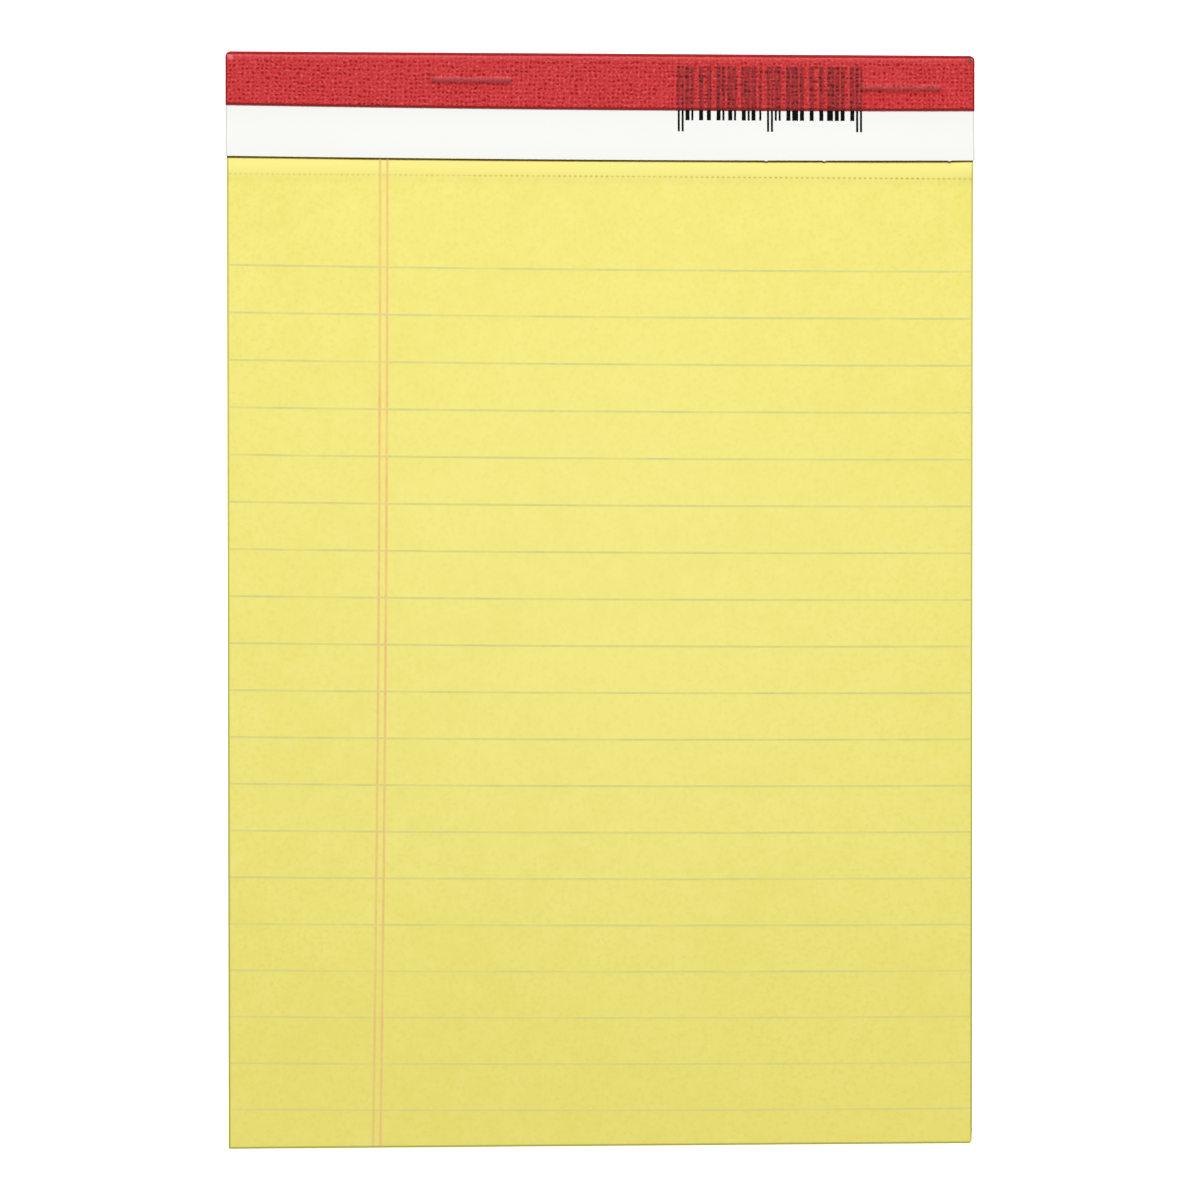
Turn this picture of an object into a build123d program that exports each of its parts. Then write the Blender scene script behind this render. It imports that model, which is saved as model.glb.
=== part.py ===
from build123d import *
import os

# Junior legal pad, lying on its back. Millimetres, +Z up, +Y towards the bound head,
# origin on the desk under the middle of the pad.
#
# Fifty perforated sheets lie on a chipboard back, under a short header strip of white card.
# Two wire stitches go through all three near the head and are clinched in the board, and a
# cloth-grained paper tape is glued over the head, from the strip's face round to the board's
# back.

# ---- driving dimensions -------------------------------------------------------------------
pad_width = 127.0
pad_length = 185.7
sheet_count = 50
sheet_thickness = 0.095
board_thickness = 0.76
strip_thickness = 0.22
tape_thickness = 0.16
side_inset = 0.2  # sheets and board sit this far inside the strip and tape on each side

strip_height_left = 17.8  # from the head; the strip is cut slightly out of square
strip_height_right = 18.1
tape_front_left = 9.05  # from the head; the tape was laid slightly out of square
tape_front_right = 9.55
tape_back = 11.0

head_front_radius = 1.2  # outside of the tape where it turns over the head
head_back_radius = 0.7
worn_head_radius = 1.1  # both head corners are rubbed round, tape and all
worn_foot_radius = 0.5  # so is the right foot corner of the sheets and board

perforation_from_head = 20.95  # on the middle line
perforation_slope = 0.14  # degrees, falling to the right
perforation_pitch = 0.897
slit_length = 0.45
slit_width = 0.14

wire_radius = 0.26
wire_clearance = 0.01
crown_width = 13.8  # outside
crown_sink = 0.06  # the crown's centre line lies this far below the strip's face
wire_bend_radius = 0.6  # on the wire's centre line
clinch_length = 5.0
clinch_gap = 0.02  # from the folded tips to the tape behind the board
stitch_places = {"left": (-22.1, 4.8), "right": (51.0, 5.7)}  # across, and from the head

# ---- levels and lines that follow from them -----------------------------------------------
board_back = tape_thickness
sheets_back = board_back + board_thickness
strip_back = sheets_back + sheet_count * sheet_thickness
strip_face = strip_back + strip_thickness
tape_face = strip_face + tape_thickness

head = pad_length / 2
foot = -pad_length / 2
side = pad_width / 2
sheet_side = side - side_inset
head_core = tape_face / 2  # a level inside the pad, clear of both flaps of the tape

channel_radius = wire_radius + wire_clearance
ridge_radius = channel_radius + tape_thickness
crown_level = strip_face - crown_sink
clinch_level = board_back + clinch_gap + wire_radius
leg_offset = crown_width / 2 - wire_radius


# ---- the shape that the head gives to everything in it ------------------------------------
def head_block(head_line, back, face, back_radius, face_radius):
    """The pad's full length as one block, its head rounded in side view and worn in plan."""
    with BuildPart() as block:
        with BuildSketch(Plane.YZ) as side_view:
            with BuildLine():
                Polyline(
                    (foot, back), (head_line, back), (head_line, face), (foot, face), close=True
                )
            make_face()
            head_corners = side_view.vertices().group_by(Axis.X)[-1].sort_by(Axis.Y)
            fillet(head_corners[0], back_radius)
            fillet(head_corners[-1], face_radius)
        extrude(amount=side, both=True)
        with BuildSketch(Plane.XY.offset(back)) as plan:
            with BuildLine():
                Polyline((-side, foot), (side, foot), (side, head), (-side, head), close=True)
            make_face()
            fillet(plan.vertices().group_by(Axis.Y)[-1], worn_head_radius)
        extrude(amount=face - back, mode=Mode.INTERSECT)
    return block.part


tape_outside = head_block(head, 0, tape_face, head_back_radius, head_front_radius)
stack_outside = head_block(
    head - tape_thickness,
    board_back,
    strip_face,
    head_back_radius - tape_thickness,
    head_front_radius - tape_thickness,
)


# ---- wire stitches ------------------------------------------------------------------------
def bent_wire(radius, across, from_head):
    """Crown on the strip, a leg down through the pad at each end, tips folded inwards."""
    line = head - from_head
    with BuildPart() as bent:
        with BuildLine() as centre_line:
            FilletPolyline(
                (across - leg_offset + clinch_length, line, clinch_level),
                (across - leg_offset, line, clinch_level),
                (across - leg_offset, line, crown_level),
                (across + leg_offset, line, crown_level),
                (across + leg_offset, line, clinch_level),
                (across + leg_offset - clinch_length, line, clinch_level),
                radius=wire_bend_radius,
            )
        with BuildSketch(Plane(origin=centre_line.line @ 0, z_dir=centre_line.line % 0)):
            Circle(radius)
        sweep(path=centre_line.line)
    return bent


def clinch_grooves(across, from_head):
    """The troughs that the folded tips press into the board, open at its back."""
    run = clinch_length + wire_clearance
    with BuildPart() as grooves:
        with BuildSketch(Plane.XY.offset(board_back)):
            with Locations((across, head - from_head)):
                with Locations((-leg_offset + run / 2, 0), (leg_offset - run / 2, 0)):
                    Rectangle(run, 2 * channel_radius)
        extrude(amount=clinch_level - board_back)
    return grooves


stitches = {}
stitch_channels = []
for end, place in stitch_places.items():
    stitches[end] = bent_wire(wire_radius, *place)
    stitch_channels.append(bent_wire(channel_radius, *place).part)

# ---- backing board: stiff grey chipboard --------------------------------------------------
with BuildPart() as backing_board:
    with BuildSketch(Plane.XY.offset(board_back)) as board_outline:
        with BuildLine():
            Polyline(
                (-sheet_side, foot), (sheet_side, foot), (sheet_side, head), (-sheet_side, head),
                close=True,
            )
        make_face()
        fillet(board_outline.vertices().group_by(Axis.Y)[0].sort_by(Axis.X)[-1], worn_foot_radius)
    extrude(amount=board_thickness)
    add(stack_outside, mode=Mode.INTERSECT)
    add(stitch_channels, mode=Mode.SUBTRACT)
    for place in stitch_places.values():
        add(clinch_grooves(*place).part, mode=Mode.SUBTRACT)

# ---- ruled sheets: fifty sheets as one block, with their perforated tear line -------------
with BuildPart() as ruled_sheets:
    with BuildSketch(Plane.XY.offset(sheets_back)) as sheet_outline:
        with BuildLine():
            Polyline(
                (-sheet_side, foot), (sheet_side, foot), (sheet_side, head), (-sheet_side, head),
                close=True,
            )
        make_face()
        fillet(sheet_outline.vertices().group_by(Axis.Y)[0].sort_by(Axis.X)[-1], worn_foot_radius)
    extrude(amount=sheet_count * sheet_thickness)
    add(stack_outside, mode=Mode.INTERSECT)
    add(stitch_channels, mode=Mode.SUBTRACT)
    slit_count = int(2 * sheet_side / perforation_pitch)
    with BuildSketch(Plane.XY.offset(sheets_back).rotated((0, 0, -perforation_slope))):
        with Locations((0, head - perforation_from_head)):
            with GridLocations(perforation_pitch, perforation_pitch, slit_count, 1):
                Rectangle(slit_length, slit_width)
    extrude(amount=sheet_count * sheet_thickness, mode=Mode.SUBTRACT)

# ---- header strip: white card, held at its top, free at its lower edge --------------------
with BuildPart() as header_strip:
    with BuildSketch(Plane.XY.offset(strip_back)):
        with BuildLine():
            Polyline(
                (-side, head - strip_height_left), (side, head - strip_height_right),
                (side, head), (-side, head),
                close=True,
            )
        make_face()
    extrude(amount=strip_thickness)
    add(stack_outside, mode=Mode.INTERSECT)
    add(stitch_channels, mode=Mode.SUBTRACT)

# ---- binding tape: one piece from the strip's face, over the head, to the board's back ----
with BuildPart() as binding_tape:
    add(tape_outside)
    add(stack_outside, mode=Mode.SUBTRACT)
    with BuildSketch(Plane.XY.offset(head_core)):
        with BuildLine():
            Polyline(
                (-side, foot), (side, foot),
                (side, head - tape_front_right), (-side, head - tape_front_left),
                close=True,
            )
        make_face()
    extrude(amount=tape_face - head_core, mode=Mode.SUBTRACT)
    with BuildSketch(Plane.XY.offset(head_core)):
        with BuildLine():
            Polyline(
                (-side, foot), (side, foot), (side, head - tape_back), (-side, head - tape_back),
                close=True,
            )
        make_face()
    extrude(amount=-head_core, mode=Mode.SUBTRACT)

# Ridges where the tape bridges the crowns of the stitches, hollow under each crown.
for place in stitch_places.values():
    with BuildPart() as ridge:
        add(bent_wire(ridge_radius, *place).part)
        split(bisect_by=Plane.XY.offset(strip_face), keep=Keep.TOP)
    with binding_tape:
        add(ridge.part)
        add(bent_wire(channel_radius, *place).part, mode=Mode.SUBTRACT)

# ---- write one STEP per piece -------------------------------------------------------------
os.makedirs("parts", exist_ok=True)

backing_board.part.label = "backing_board"
export_step(backing_board.part, "parts/backing_board.step")

ruled_sheets.part.label = "ruled_sheets"
export_step(ruled_sheets.part, "parts/ruled_sheets.step")

header_strip.part.label = "header_strip"
export_step(header_strip.part, "parts/header_strip.step")

binding_tape.part.label = "binding_tape"
export_step(binding_tape.part, "parts/binding_tape.step")

for end, stitch in stitches.items():
    stitch.part.label = f"stitch_{end}"
    export_step(stitch.part, f"parts/stitch_{end}.step")
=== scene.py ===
import math
import random

import bpy
import numpy as np
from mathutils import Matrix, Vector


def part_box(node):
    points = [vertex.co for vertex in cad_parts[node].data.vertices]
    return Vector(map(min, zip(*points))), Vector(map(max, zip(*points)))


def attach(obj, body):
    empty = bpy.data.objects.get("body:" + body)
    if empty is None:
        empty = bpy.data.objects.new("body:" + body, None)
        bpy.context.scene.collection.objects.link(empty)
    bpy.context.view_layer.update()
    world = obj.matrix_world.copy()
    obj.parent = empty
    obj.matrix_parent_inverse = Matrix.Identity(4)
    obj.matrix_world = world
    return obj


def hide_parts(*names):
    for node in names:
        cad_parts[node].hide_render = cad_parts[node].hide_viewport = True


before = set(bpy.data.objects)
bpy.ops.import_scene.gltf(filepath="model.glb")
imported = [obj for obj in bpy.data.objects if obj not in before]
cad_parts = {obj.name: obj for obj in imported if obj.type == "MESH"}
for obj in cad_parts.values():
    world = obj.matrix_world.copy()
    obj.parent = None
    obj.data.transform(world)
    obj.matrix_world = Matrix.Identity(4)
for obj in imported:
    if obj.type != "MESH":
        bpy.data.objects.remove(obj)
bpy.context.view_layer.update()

# ==== Backing board ==============================================================================
# One piece of grey-brown chipboard, pressed from recycled pulp and cut with the sheets in one
# stroke of the guillotine. It lies under the whole pad and the stitches are clinched in its back.

mm = 0.001


def add_node(tree, kind, inputs=None, **settings):
    """A node in a shader or geometry tree, with its settings and what goes into its sockets."""
    node = tree.nodes.new(kind)
    for name, value in settings.items():
        setattr(node, name, value)
    for socket, value in (inputs or {}).items():
        if isinstance(value, bpy.types.NodeSocket):
            tree.links.new(value, node.inputs[socket])
        else:
            node.inputs[socket].default_value = value
    return node


def maths(tree, operation, *values, clamp=False):
    """The result of one step of arithmetic on sockets or numbers."""
    node = add_node(tree, "ShaderNodeMath", dict(enumerate(values)), operation=operation)
    node.use_clamp = clamp
    return node.outputs[0]


def product(tree, first, *others):
    """Sockets or numbers multiplied together."""
    for other in others:
        first = maths(tree, "MULTIPLY", first, other)
    return first


def ramp(tree, value, start, end, low=0.0, high=1.0, curve="SMOOTHSTEP"):
    """value carried from low at start to high at end, and held beyond them."""
    inputs = {"Value": value, "From Min": start, "From Max": end, "To Min": low, "To Max": high}
    return add_node(tree, "ShaderNodeMapRange", inputs, interpolation_type=curve).outputs["Result"]


def colour_blend(tree, amount, below, above):
    """above laid over below by amount."""
    inputs = {0: amount, 6: below, 7: above}
    return add_node(tree, "ShaderNodeMix", inputs, data_type="RGBA").outputs[2]


def noise(tree, place, scale, detail, roughness, stretch=(1, 1, 1), shift=(0, 0, 0)):
    """Soft cloudy noise from 0 to 1, scale patches to the metre."""
    spread = add_node(tree, "ShaderNodeVectorMath", {0: place, 1: stretch, 2: shift},
                      operation="MULTIPLY_ADD").outputs[0]
    inputs = {"Vector": spread, "Scale": scale, "Detail": detail, "Roughness": roughness}
    return add_node(tree, "ShaderNodeTexNoise", inputs).outputs[0]


def new_finish(name, roughness, specular=0.5):
    """A material with its tree, its shader and the place on the piece that patterns follow."""
    finish = bpy.data.materials.new(name)
    finish.use_nodes = True
    tree = finish.node_tree
    shader = tree.nodes["Principled BSDF"]
    shader.inputs["Roughness"].default_value = roughness
    shader.inputs["Specular IOR Level"].default_value = specular
    place = add_node(tree, "ShaderNodeTexCoord").outputs["Object"]
    return finish, tree, shader, place


def set_colour(tree, shader, colour):
    tree.links.new(colour, shader.inputs["Base Color"])


def add_relief(tree, shader, height, depth):
    """Fine relief, height from 0 to 1 over depth metres."""
    inputs = {"Height": height, "Distance": depth, "Strength": 1.0}
    tree.links.new(add_node(tree, "ShaderNodeBump", inputs).outputs[0], shader.inputs["Normal"])


def chipboard_finish():
    finish, tree, shader, place = new_finish("chipboard", 0.85, 0.25)
    pulp = noise(tree, place, 900, 4, 0.6)
    clouds = noise(tree, place, 60, 3, 0.55)
    fibres = noise(tree, place, 500, 3, 0.6, stretch=(0.25, 1.6, 4))
    flecks = add_node(tree, "ShaderNodeTexVoronoi", {"Vector": place, "Scale": 420.0})
    speck = ramp(tree, flecks.outputs["Distance"], 0.10, 0.22, 1, 0)
    chosen = add_node(tree, "ShaderNodeSeparateColor", {"Color": flecks.outputs["Color"]})
    dark_speck = product(tree, speck, ramp(tree, chosen.outputs[0], 0.80, 0.86), 0.7)
    pale_speck = product(tree, speck, ramp(tree, chosen.outputs[1], 0.84, 0.9), 0.6)
    colour = colour_blend(tree, clouds, (0.235, 0.195, 0.150, 1), (0.300, 0.255, 0.200, 1))
    colour = colour_blend(tree, ramp(tree, fibres, 0.35, 0.75, 0, 0.5), colour,
                          (0.36, 0.315, 0.25, 1))
    colour = colour_blend(tree, ramp(tree, pulp, 0.3, 0.7, 0.25, 0), colour, (0.13, 0.105, 0.08, 1))
    colour = colour_blend(tree, dark_speck, colour, (0.05, 0.045, 0.05, 1))
    colour = colour_blend(tree, pale_speck, colour, (0.55, 0.53, 0.48, 1))
    set_colour(tree, shader, colour)
    add_relief(tree, shader, maths(tree, "ADD", pulp, fibres), 0.02 * mm)
    return finish


def wear_finish(node, finish):
    """Gives a carried-over piece its finish."""
    cad_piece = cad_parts[node]
    for slot in cad_piece.material_slots:
        slot.material = finish


wear_finish("backing_board", chipboard_finish())

# ==== Wire stitches ==============================================================================
# Two stitches of round galvanised wire, driven through the strip, the sheets and the board and
# folded flat. The tape hides them, and only their crowns press through it.


def galvanised_finish():
    finish, tree, shader, place = new_finish("galvanised wire", 0.38)
    shader.inputs["Metallic"].default_value = 1.0
    drawn = noise(tree, place, 2500, 2, 0.5, stretch=(0.08, 1, 1))
    bloom = noise(tree, place, 900, 3, 0.6)
    colour = colour_blend(tree, ramp(tree, bloom, 0.35, 0.7), (0.50, 0.51, 0.52, 1),
                          (0.66, 0.66, 0.65, 1))
    set_colour(tree, shader, colour)
    add_relief(tree, shader, drawn, 0.004 * mm)
    return finish


wire = galvanised_finish()
wear_finish("stitch_left", wire)
wear_finish("stitch_right", wire)

# ==== Sheets under the top one ===================================================================
# Forty-nine sheets of yellow writing paper, knocked up square, glued along the head and trimmed
# together. Each lies a hair out of line. A perforating blade has slit them all near the head, and
# here the upper five carry the slits.

sheet_low, sheet_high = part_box("ruled_sheets")
tape_low, tape_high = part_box("binding_tape")
strip_low, strip_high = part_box("header_strip")
sheet_count = 50
open_count = 6  # sheets whose slits can be seen from above, the top sheet among them
sheet_pitch = (sheet_high.z - sheet_low.z) / sheet_count
paper_thickness = 0.9 * sheet_pitch  # the rest is air
pad_side = tape_high.x
head = tape_high.y
foot = sheet_low.y
worn_head_radius = 1.1 * mm
worn_foot_radius = 0.5 * mm
tape_thickness = tape_high.y - sheet_high.y
tape_face = strip_high.z + tape_thickness
shoulder_radius = 1.2 * mm
sheet_slip = 0.05 * mm
tear_line = head - 20.95 * mm
tear_slope = math.radians(0.14)
slit_pitch = 0.897 * mm
slit_row = 0.3 * mm  # faces kept for the slits
narrowest_slit = 0.02 * mm
widest_slit = 0.045 * mm
blade_dull_from = -60 * mm
blade_dull_to = 10 * mm
slewed_band = 1.2 * mm  # points this near the line lean with it
stations_each_side = 141
clear_of_slits = 2 * mm
crisp_turn = math.radians(35)
same_place = 0.0005 * mm


def new_tree(name, inputs, outputs=(("Geometry", "NodeSocketGeometry"),)):
    """An empty geometry tree with named inputs. Returns it, its inputs and its last node."""
    tree = bpy.data.node_groups.new(name, "GeometryNodeTree")
    for label, kind in inputs:
        tree.interface.new_socket(name=label, in_out="INPUT", socket_type=kind)
    for label, kind in outputs:
        tree.interface.new_socket(name=label, in_out="OUTPUT", socket_type=kind)
    start = tree.nodes.new("NodeGroupInput").outputs
    return tree, start, tree.nodes.new("NodeGroupOutput")


def make_plain(piece, tree, values):
    """Runs a geometry tree on a piece with these values, and leaves a plain mesh."""
    modifier = piece.modifiers.new(tree.name, "NODES")
    modifier.node_group = tree
    for item in tree.interface.items_tree:
        if item.in_out == "INPUT" and item.name in values:
            modifier[item.identifier] = values[item.name]
    seen = bpy.context.evaluated_depsgraph_get()
    mesh = bpy.data.meshes.new_from_object(piece.evaluated_get(seen), depsgraph=seen)
    piece.modifiers.clear()
    piece.data = mesh
    mesh.name = piece.name


def new_piece(name, mesh):
    piece = bpy.data.objects.new(name, mesh)
    bpy.context.scene.collection.objects.link(piece)
    return piece


def as_drawn(x, y):
    return x, y


def flat_patches(name, patches):
    """A flat piece of rectangular patches, each given by its columns, its rows and its bend."""
    places, faces, first = [], [], 0
    for columns, rows, bend in patches:
        x, y = bend(*np.meshgrid(columns, rows))
        places.append(np.stack([x.ravel(), y.ravel(), np.zeros(x.size)], 1))
        index = first + np.arange(x.size).reshape(x.shape)
        corners = (index[:-1, :-1], index[:-1, 1:], index[1:, 1:], index[1:, :-1])
        faces.append(np.stack([corner.ravel() for corner in corners], 1))
        first += x.size
    mesh = bpy.data.meshes.new(name)
    mesh.from_pydata(np.concatenate(places).tolist(), [], np.concatenate(faces).tolist())
    return new_piece(name, mesh)


def split(tree, place):
    """The x, y and z of a place."""
    return add_node(tree, "ShaderNodeSeparateXYZ", {0: place}).outputs


def here(tree):
    """The x, y and z of each point."""
    return split(tree, add_node(tree, "GeometryNodeInputPosition").outputs[0])


def point(tree, x=0.0, y=0.0, z=0.0):
    """The place at x, y and z."""
    return add_node(tree, "ShaderNodeCombineXYZ", {0: x, 1: y, 2: z}).outputs[0]


def move_points(tree, geometry, **inputs):
    """Moves points to Position or by Offset, all of them or only Selection."""
    return add_node(tree, "GeometryNodeSetPosition", {"Geometry": geometry, **inputs}).outputs[0]


def set_finish(tree, geometry, finish, **inputs):
    """Gives faces their finish, all of them or only Selection."""
    inputs = {"Geometry": geometry, "Material": finish, **inputs}
    return add_node(tree, "GeometryNodeSetMaterial", inputs).outputs[0]


def crisp_edges(tree, geometry):
    """Smooth faces that still meet in crisp cut edges."""
    smooth = add_node(tree, "GeometryNodeSetShadeSmooth", {"Geometry": geometry}).outputs[0]
    turn = add_node(tree, "GeometryNodeInputMeshEdgeAngle").outputs["Unsigned Angle"]
    sharp = add_node(tree, "FunctionNodeCompare", {0: turn, 1: crisp_turn},
                     operation="GREATER_THAN").outputs[0]
    inputs = {"Geometry": smooth, "Name": "sharp_edge", "Value": sharp}
    return add_node(tree, "GeometryNodeStoreNamedAttribute", inputs, data_type="BOOLEAN",
                    domain="EDGE").outputs[0]


def rounded_limit(tree, past, half_width, radius):
    """Half the width left by a round corner, past metres beyond where it starts."""
    past = maths(tree, "MINIMUM", maths(tree, "MAXIMUM", past, 0), radius)
    left = maths(tree, "SQRT", maths(tree, "SUBTRACT", radius * radius, product(tree, past, past)))
    return maths(tree, "ADD", left, half_width - radius)


def wear_corners(tree, geometry):
    """Pulls a piece's points in to the pad's worn corners: both at the head, one at the foot."""
    parts = here(tree)
    past_head = maths(tree, "SUBTRACT", parts[1], head - worn_head_radius)
    past_foot = maths(tree, "SUBTRACT", foot + worn_foot_radius, parts[1])
    at_head = rounded_limit(tree, past_head, pad_side, worn_head_radius)
    at_foot = rounded_limit(tree, past_foot, pad_side, worn_foot_radius)
    x = maths(tree, "MINIMUM", parts[0], maths(tree, "MINIMUM", at_head, at_foot))
    x = maths(tree, "MAXIMUM", x, product(tree, at_head, -1))
    return move_points(tree, geometry, Position=point(tree, x, parts[1], parts[2]))


def join_points(tree, geometry):
    """Joins points that lie at one place."""
    inputs = {"Geometry": geometry, "Distance": same_place}
    return add_node(tree, "GeometryNodeMergeByDistance", inputs).outputs[0]


def perforation_tree():
    """Opens the slits of the tear line in the row of faces kept for them."""
    tree, given, end = new_tree("Perforating blade", [
        ("Geometry", "NodeSocketGeometry"), ("Line", "NodeSocketFloat"),
        ("Pitch", "NodeSocketFloat"), ("Row", "NodeSocketFloat"),
        ("Narrowest", "NodeSocketFloat"), ("Widest", "NodeSocketFloat")])
    parts = here(tree)
    off_line = maths(tree, "SUBTRACT", parts[1], given["Line"])
    near_line = maths(tree, "ABSOLUTE", off_line)
    in_row = maths(tree, "LESS_THAN", near_line, product(tree, given["Row"], 0.25))
    turn = product(tree, maths(tree, "DIVIDE", parts[0], given["Pitch"]), math.tau)
    slit = product(tree, in_row, maths(tree, "GREATER_THAN", maths(tree, "COSINE", turn), 0))
    inputs = {"Geometry": given["Geometry"], "Selection": slit}
    leaf = add_node(tree, "GeometryNodeDeleteGeometry", inputs, domain="FACE").outputs[0]
    # The perforating blade was duller on the left, so the slits gape less there.
    uneven = ramp(tree, noise(tree, point(tree, parts[0]), 160, 2, 0.6), 0.3, 0.7, 0.55, 1)
    gape = product(tree, ramp(tree, parts[0], sheet_low.x, blade_dull_to), uneven)
    width = ramp(tree, gape, 0, 1, given["Narrowest"], given["Widest"], "LINEAR")
    aside = product(tree, maths(tree, "SIGN", off_line), width, 0.5)
    placed = point(tree, parts[0], maths(tree, "ADD", given["Line"], aside), parts[2])
    at_line = maths(tree, "LESS_THAN", near_line, given["Row"])
    leaf = move_points(tree, leaf, Selection=at_line, Position=placed)
    # The blade lay a little out of square.
    lean = point(tree, 0, product(tree, parts[0], -math.tan(tear_slope)))
    around = maths(tree, "LESS_THAN", near_line, slewed_band)
    leaf = move_points(tree, leaf, Selection=around, Offset=lean)
    tree.links.new(leaf, end.inputs[0])
    return tree


def flat_stock_tree(name, finish, lay=None, edge_finish=None):
    """Gives flat patches their thickness and height, their finish and the lay of what they are."""
    tree, given, end = new_tree(name, [
        ("Geometry", "NodeSocketGeometry"), ("Thickness", "NodeSocketFloat"),
        ("Underside", "NodeSocketFloat")])
    under = move_points(tree, given["Geometry"], Offset=point(tree, 0, 0, given["Underside"]))
    inputs = {"Mesh": under, "Offset": (0, 0, 1), "Offset Scale": given["Thickness"],
              "Individual": False}
    raised = add_node(tree, "GeometryNodeExtrudeMesh", inputs, mode="FACES").outputs[0]
    closed = add_node(tree, "GeometryNodeJoinGeometry", {0: raised})
    turned_over = add_node(tree, "GeometryNodeFlipFaces", {"Mesh": under}).outputs[0]
    tree.links.new(turned_over, closed.inputs[0])
    body = join_points(tree, closed.outputs[0])
    if lay:
        place = add_node(tree, "GeometryNodeInputPosition").outputs[0]
        rise = add_node(tree, "GeometryNodeGroup", {"Place": place}, node_tree=lay).outputs[0]
        body = move_points(tree, body, Offset=rise)
    body = crisp_edges(tree, join_points(tree, wear_corners(tree, body)))
    body = set_finish(tree, body, finish)
    if edge_finish:
        facing = add_node(tree, "GeometryNodeInputNormal").outputs[0]
        inputs = {0: split(tree, facing)[2], 1: 0.5}
        cut = add_node(tree, "FunctionNodeCompare", inputs, operation="LESS_THAN").outputs[0]
        body = set_finish(tree, body, edge_finish, Selection=cut)
    tree.links.new(body, end.inputs[0])
    return tree


def pile_tree(finish):
    """Piles one sheet up Count times, each slipped a little, with its head inside the tape."""
    tree, given, end = new_tree("Pile of sheets", [
        ("Geometry", "NodeSocketGeometry"), ("Pitch", "NodeSocketFloat"), ("Count", "NodeSocketInt"),
        ("Slip", "NodeSocketFloat"), ("Seed", "NodeSocketInt")])
    inputs = {"Count": given["Count"], "Offset": point(tree, 0, 0, given["Pitch"])}
    levels = add_node(tree, "GeometryNodeMeshLine", inputs).outputs[0]
    inputs = {"Points": levels, "Instance": given["Geometry"]}
    pile = add_node(tree, "GeometryNodeInstanceOnPoints", inputs).outputs[0]
    back = product(tree, given["Slip"], -1)
    inputs = {0: point(tree, back, back), 1: point(tree, given["Slip"]), "Seed": given["Seed"]}
    shove = add_node(tree, "FunctionNodeRandomValue", inputs, data_type="FLOAT_VECTOR").outputs[0]
    inputs = {"Instances": pile, "Translation": shove}
    pile = add_node(tree, "GeometryNodeTranslateInstances", inputs).outputs[0]
    pile = add_node(tree, "GeometryNodeRealizeInstances", {"Geometry": pile}).outputs[0]
    parts = here(tree)
    inner_radius = shoulder_radius - tape_thickness
    rise = maths(tree, "SUBTRACT", parts[2], tape_face - shoulder_radius)
    inside_tape = rounded_limit(tree, rise, head - tape_thickness, inner_radius)
    y = maths(tree, "MAXIMUM", maths(tree, "MINIMUM", parts[1], inside_tape), foot)
    pile = move_points(tree, pile, Position=point(tree, parts[0], y, parts[2]))
    pile = crisp_edges(tree, join_points(tree, wear_corners(tree, pile)))
    tree.links.new(set_finish(tree, pile, finish), end.inputs[0])
    return tree


def yellow_paper_colour(tree, place):
    """Yellow writing paper: soft clouds, mottle and fine fibre."""
    clouds = noise(tree, place, 32, 3, 0.55)
    mottle = noise(tree, place, 240, 3, 0.6)
    formation = noise(tree, place, 1300, 3, 0.6)
    colour = colour_blend(tree, ramp(tree, clouds, 0.3, 0.7), (0.800, 0.724, 0.172, 1),
                          (0.824, 0.750, 0.190, 1))
    colour = colour_blend(tree, ramp(tree, mottle, 0.35, 0.7, 0, 0.65), colour,
                          (0.842, 0.770, 0.215, 1))
    return colour_blend(tree, ramp(tree, formation, 0.42, 0.75, 0, 0.65), colour,
                        (0.765, 0.678, 0.135, 1))


def cover_paper(tree, shader, place, colour):
    """Gives paper its colour and the fine tooth of its face."""
    set_colour(tree, shader, colour)
    add_relief(tree, shader, noise(tree, place, 4200, 3, 0.6), 0.006 * mm)


def yellow_paper_finish():
    finish, tree, shader, place = new_finish("yellow writing paper", 0.62, 0.2)
    cover_paper(tree, shader, place, yellow_paper_colour(tree, place))
    return finish


def crowded(low, high, count, power):
    """count stations from low to high that crowd towards both ends."""
    share = np.linspace(-1, 1, count)
    share = np.sign(share) * (1 - (1 - np.abs(share)) ** power)
    return low + (high - low) * (share + 1) / 2


yellow_paper = yellow_paper_finish()
perforation = perforation_tree()
slit_stations = (np.arange(-stations_each_side, stations_each_side) + 0.5) * slit_pitch / 2
tear_columns = np.concatenate([[sheet_low.x], slit_stations, [sheet_high.x]])
slit_sizes = {"Line": tear_line, "Pitch": slit_pitch, "Row": slit_row,
              "Narrowest": narrowest_slit, "Widest": widest_slit}
paper_body = flat_stock_tree("Sheet of paper", yellow_paper)
paper_pile = pile_tree(yellow_paper)


def sheet_pile(stock, first, count, seed):
    """Piles sheets cut from this flat stock on the pad, from the sheet numbered first up."""
    make_plain(stock, paper_body, {
        "Thickness": paper_thickness, "Underside": sheet_low.z + first * sheet_pitch})
    make_plain(stock, paper_pile, {
        "Pitch": sheet_pitch, "Count": count, "Slip": sheet_slip, "Seed": seed})
    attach(stock, "root")
    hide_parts("ruled_sheets")


plain_columns = crowded(sheet_low.x, sheet_high.x, count=15, power=3)
plain_rows = crowded(foot + sheet_slip, head, count=43, power=2)
plain_stock = flat_patches("under_sheets", [(plain_columns, plain_rows, as_drawn)])
sheet_pile(plain_stock, first=0, count=sheet_count - open_count, seed=5)

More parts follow.
